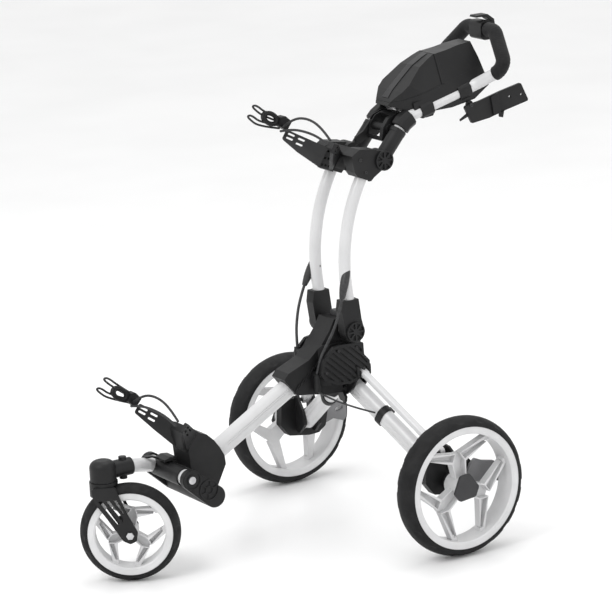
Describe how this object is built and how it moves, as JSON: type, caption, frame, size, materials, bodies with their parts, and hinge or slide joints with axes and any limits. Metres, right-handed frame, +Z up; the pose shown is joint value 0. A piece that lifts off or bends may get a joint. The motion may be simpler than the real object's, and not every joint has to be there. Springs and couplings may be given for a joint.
{
  "type": "golf push trolley",
  "caption": "Three-wheel folding golf push trolley with bag cradles, swivelling front wheel, hand console and looped handle.",
  "frame": {"origin": "on the ground, at the middle of the footprint", "axes": "+Z up, the trolley is pushed towards -Y, +X is its left-hand side"},
  "size_m": [0.714, 1.0833, 1.036],
  "materials": {
    "white_metal": "satin",
    "black_plastic": "matte",
    "grey_plastic": "matte",
    "dark_grey_plastic": "matte",
    "white_plastic": "satin",
    "tyre": "matte",
    "rubber": "matte",
    "steel": "satin"
  },
  "bodies": {
    "frame": {"hub_body": "black_plastic", "hub_covers": "black_plastic", "front_tube": "white_metal", "lower_block": "black_plastic", "lower_cradle": "black_plastic", "lower_toggle": "black_plastic", "lower_bungee": "rubber", "pivot_pins": "steel", "wheel_cables": "rubber", "brake_cables": "rubber"},
    "upper_frame": {"uprights": "white_metal", "hub_sockets": "black_plastic", "pivot_caps": "black_plastic", "upper_bracket": "black_plastic", "upper_cradle": "black_plastic", "upper_toggle": "black_plastic", "upper_bungee": "rubber", "cable_glands": "rubber", "knuckle_pin": "steel"},
    "handle": {"handle_tube": "white_metal", "grips": "rubber", "knuckle_sleeves": "black_plastic", "clamp_bridge": "black_plastic", "console_base": "black_plastic", "console_hood": "dark_grey_plastic", "accessory_plate": "black_plastic", "brake_housing": "black_plastic"},
    "release_button": {"release_button": "dark_grey_plastic"},
    "console_lid": {"console_lid": "black_plastic"},
    "brake_lever": {"brake_lever": "black_plastic"},
    "handle_lock_lever": {"handle_lock_lever": "black_plastic"},
    "latch_lever": {"latch_lever": "black_plastic"},
    "front_arm": {"arm_tube": "white_metal", "arm_sleeve": "black_plastic", "fork_head": "black_plastic"},
    "fork": {"fork": "black_plastic", "front_axle": "steel"},
    "front_wheel": {"tyre_front": "tyre", "rim_front": "white_plastic", "bearings_front": "steel"},
    "leg_left": {"leg_left": "white_metal", "cable_band_left": "black_plastic"},
    "link_left": {"link_left": "white_metal"},
    "carrier_left": {"carrier_left": "black_plastic", "axle_left": "steel"},
    "brake_arm_left": {"brake_arm_left": "grey_plastic"},
    "wheel_left": {"tyre_left": "tyre", "rim_left": "white_plastic", "hub_cap_left": "dark_grey_plastic", "bearings_left": "steel"},
    "leg_right": {"leg_right": "white_metal", "cable_band_right": "black_plastic"},
    "link_right": {"link_right": "white_metal"},
    "carrier_right": {"carrier_right": "black_plastic", "axle_right": "steel"},
    "brake_arm_right": {"brake_arm_right": "grey_plastic"},
    "wheel_right": {"tyre_right": "tyre", "rim_right": "white_plastic", "hub_cap_right": "dark_grey_plastic", "bearings_right": "steel"}
  },
  "joints": [
    {"name": "frame_fold", "type": "hinge", "parent": "frame", "child": "upper_frame", "pos_m": [0, 0.081, 0.4315], "axis": [1, 0, 0], "range_deg": [0, 75], "deforming": ["brake_cables"]},
    {"name": "handle_fold", "type": "hinge", "parent": "upper_frame", "child": "handle", "pos_m": [0, 0.1675, 0.781], "axis": [1, 0, 0], "range_deg": [-100, 15]},
    {"name": "handle_lock", "type": "hinge", "parent": "handle", "child": "handle_lock_lever", "pos_m": [0, 0.2125, 0.834], "axis": [-1, 0, 0], "range_deg": [0, 60]},
    {"name": "console_lid_hinge", "type": "hinge", "parent": "handle", "child": "console_lid", "pos_m": [0, 0.33225, 0.9745], "axis": [-1, 0, 0], "range_deg": [0, 100]},
    {"name": "brake_lever_squeeze", "type": "hinge", "parent": "handle", "child": "brake_lever", "pos_m": [0, 0.4935, 1.001], "axis": [1, 0, 0], "range_deg": [0, 8], "stiffness_Nm_per_rad": 2, "springref_deg": -2.86},
    {"name": "release_press", "type": "slide", "parent": "frame", "child": "release_button", "axis": [0, 0, 1], "range_m": [-0.0045, 0], "stiffness_N_per_m": 300, "springref_m": 0.002},
    {"name": "front_arm_fold", "type": "hinge", "parent": "frame", "child": "front_arm", "pos_m": [0, -0.3315, 0.198], "axis": [1, 0, 0], "range_deg": [0, 40]},
    {"name": "arm_latch", "type": "hinge", "parent": "front_arm", "child": "latch_lever", "pos_m": [0, -0.3205, 0.2245], "axis": [-1, 0, 0], "range_deg": [0, 20], "stiffness_Nm_per_rad": 0.1, "springref_deg": -5.73},
    {"name": "fork_swivel", "type": "hinge", "parent": "front_arm", "child": "fork", "pos_m": [0, -0.491, 0.2], "axis": [0, 0, 1], "continuous": true},
    {"name": "front_wheel_spin", "type": "hinge", "parent": "fork", "child": "front_wheel", "pos_m": [0.02487, -0.44994, 0.1025], "axis": [0.8554, -0.518, 0], "continuous": true},
    {"name": "leg_left_fold", "type": "hinge", "parent": "frame", "child": "leg_left", "pos_m": [0.017, 0.0995, 0.3085], "axis": [-0.213, 0.977, 0], "range_deg": [0, 42], "deforming": ["wheel_cables"]},
    {"name": "link_left_fold", "type": "hinge", "parent": "frame", "child": "link_left", "pos_m": [0.03939, 0.10438, 0.34489], "axis": [-0.213, 0.977, 0], "range_deg": [0, 42]},
    {"name": "carrier_left_fold", "type": "hinge", "parent": "leg_left", "child": "carrier_left", "pos_m": [0.23775, 0.14763, 0.16622], "axis": [-0.213, 0.977, 0], "range_deg": [-42, 0]},
    {"name": "brake_left", "type": "hinge", "parent": "carrier_left", "child": "brake_arm_left", "pos_m": [0.2945, 0.1945, 0.134], "axis": [1, 0, 0], "range_deg": [0, 12]},
    {"name": "wheel_left_spin", "type": "hinge", "parent": "carrier_left", "child": "wheel_left", "pos_m": [0.33, 0.1505, 0.146], "axis": [1, 0, 0], "continuous": true},
    {"name": "leg_right_fold", "type": "hinge", "parent": "frame", "child": "leg_right", "pos_m": [-0.017, 0.0995, 0.3085], "axis": [-0.213, -0.977, 0], "range_deg": [0, 42]},
    {"name": "link_right_fold", "type": "hinge", "parent": "frame", "child": "link_right", "pos_m": [-0.03939, 0.10438, 0.34489], "axis": [-0.213, -0.977, 0], "range_deg": [0, 42]},
    {"name": "carrier_right_fold", "type": "hinge", "parent": "leg_right", "child": "carrier_right", "pos_m": [-0.23775, 0.14763, 0.16622], "axis": [-0.213, -0.977, 0], "range_deg": [-42, 0]},
    {"name": "brake_right", "type": "hinge", "parent": "carrier_right", "child": "brake_arm_right", "pos_m": [-0.2945, 0.1945, 0.134], "axis": [1, 0, 0], "range_deg": [0, 12]},
    {"name": "wheel_right_spin", "type": "hinge", "parent": "carrier_right", "child": "wheel_right", "pos_m": [-0.33, 0.1505, 0.146], "axis": [1, 0, 0], "continuous": true}
  ],
  "couplings": [
    {"joint": "leg_left_fold", "follows": "frame_fold", "ratio": 0.56},
    {"joint": "link_left_fold", "follows": "frame_fold", "ratio": 0.56},
    {"joint": "carrier_left_fold", "follows": "frame_fold", "ratio": -0.56},
    {"joint": "brake_left", "follows": "brake_lever_squeeze", "ratio": 1.5},
    {"joint": "leg_right_fold", "follows": "frame_fold", "ratio": 0.56},
    {"joint": "link_right_fold", "follows": "frame_fold", "ratio": 0.56},
    {"joint": "carrier_right_fold", "follows": "frame_fold", "ratio": -0.56},
    {"joint": "brake_right", "follows": "brake_lever_squeeze", "ratio": 1.5}
  ]
}
